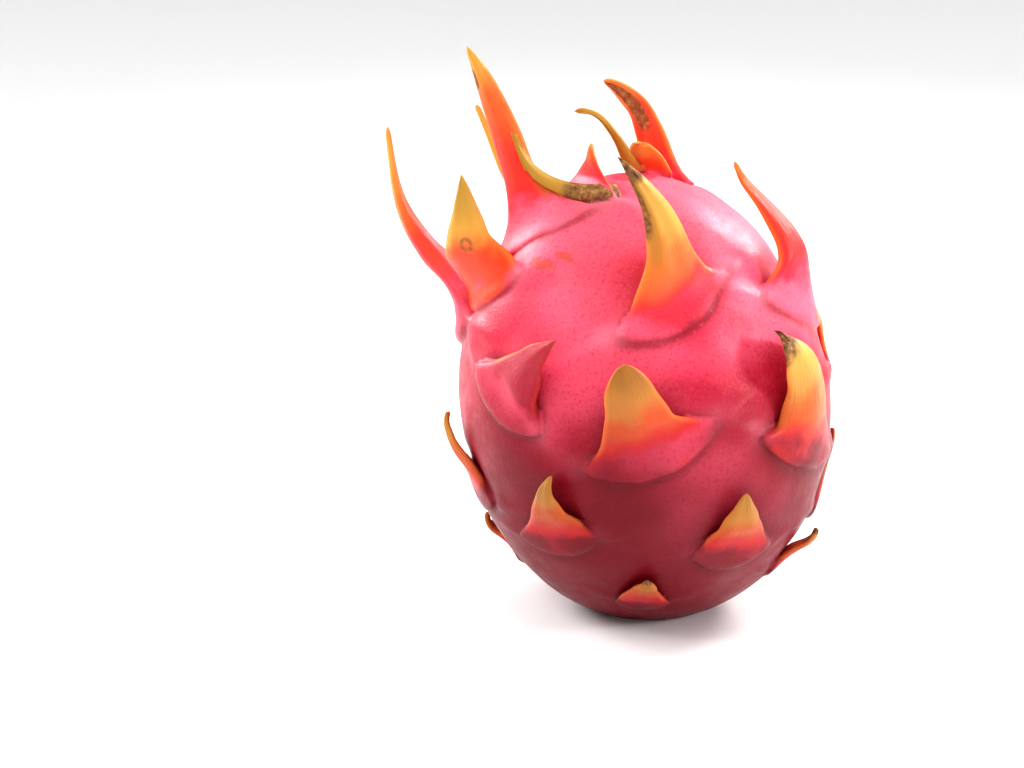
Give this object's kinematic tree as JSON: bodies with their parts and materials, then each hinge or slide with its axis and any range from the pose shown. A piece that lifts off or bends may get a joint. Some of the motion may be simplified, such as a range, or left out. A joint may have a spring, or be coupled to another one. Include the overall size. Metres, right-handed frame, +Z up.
{
  "type": "dragon fruit",
  "caption": "Whole ripe dragon fruit: an egg-shaped pink body with leaf-like scales that stand up and curl outward at the crown, resting on a small flat spot.",
  "frame": {"origin": "centre of the flat resting spot at the stem end", "axes": "+Z up along the fruit from the stem end to the crown, -Y the front, +X to the right"},
  "size_m": [0.1121, 0.1059, 0.142],
  "materials": {
    "skin": null
  },
  "bodies": {
    "root": {"dragon_fruit": "skin"}
  },
  "joints": []
}
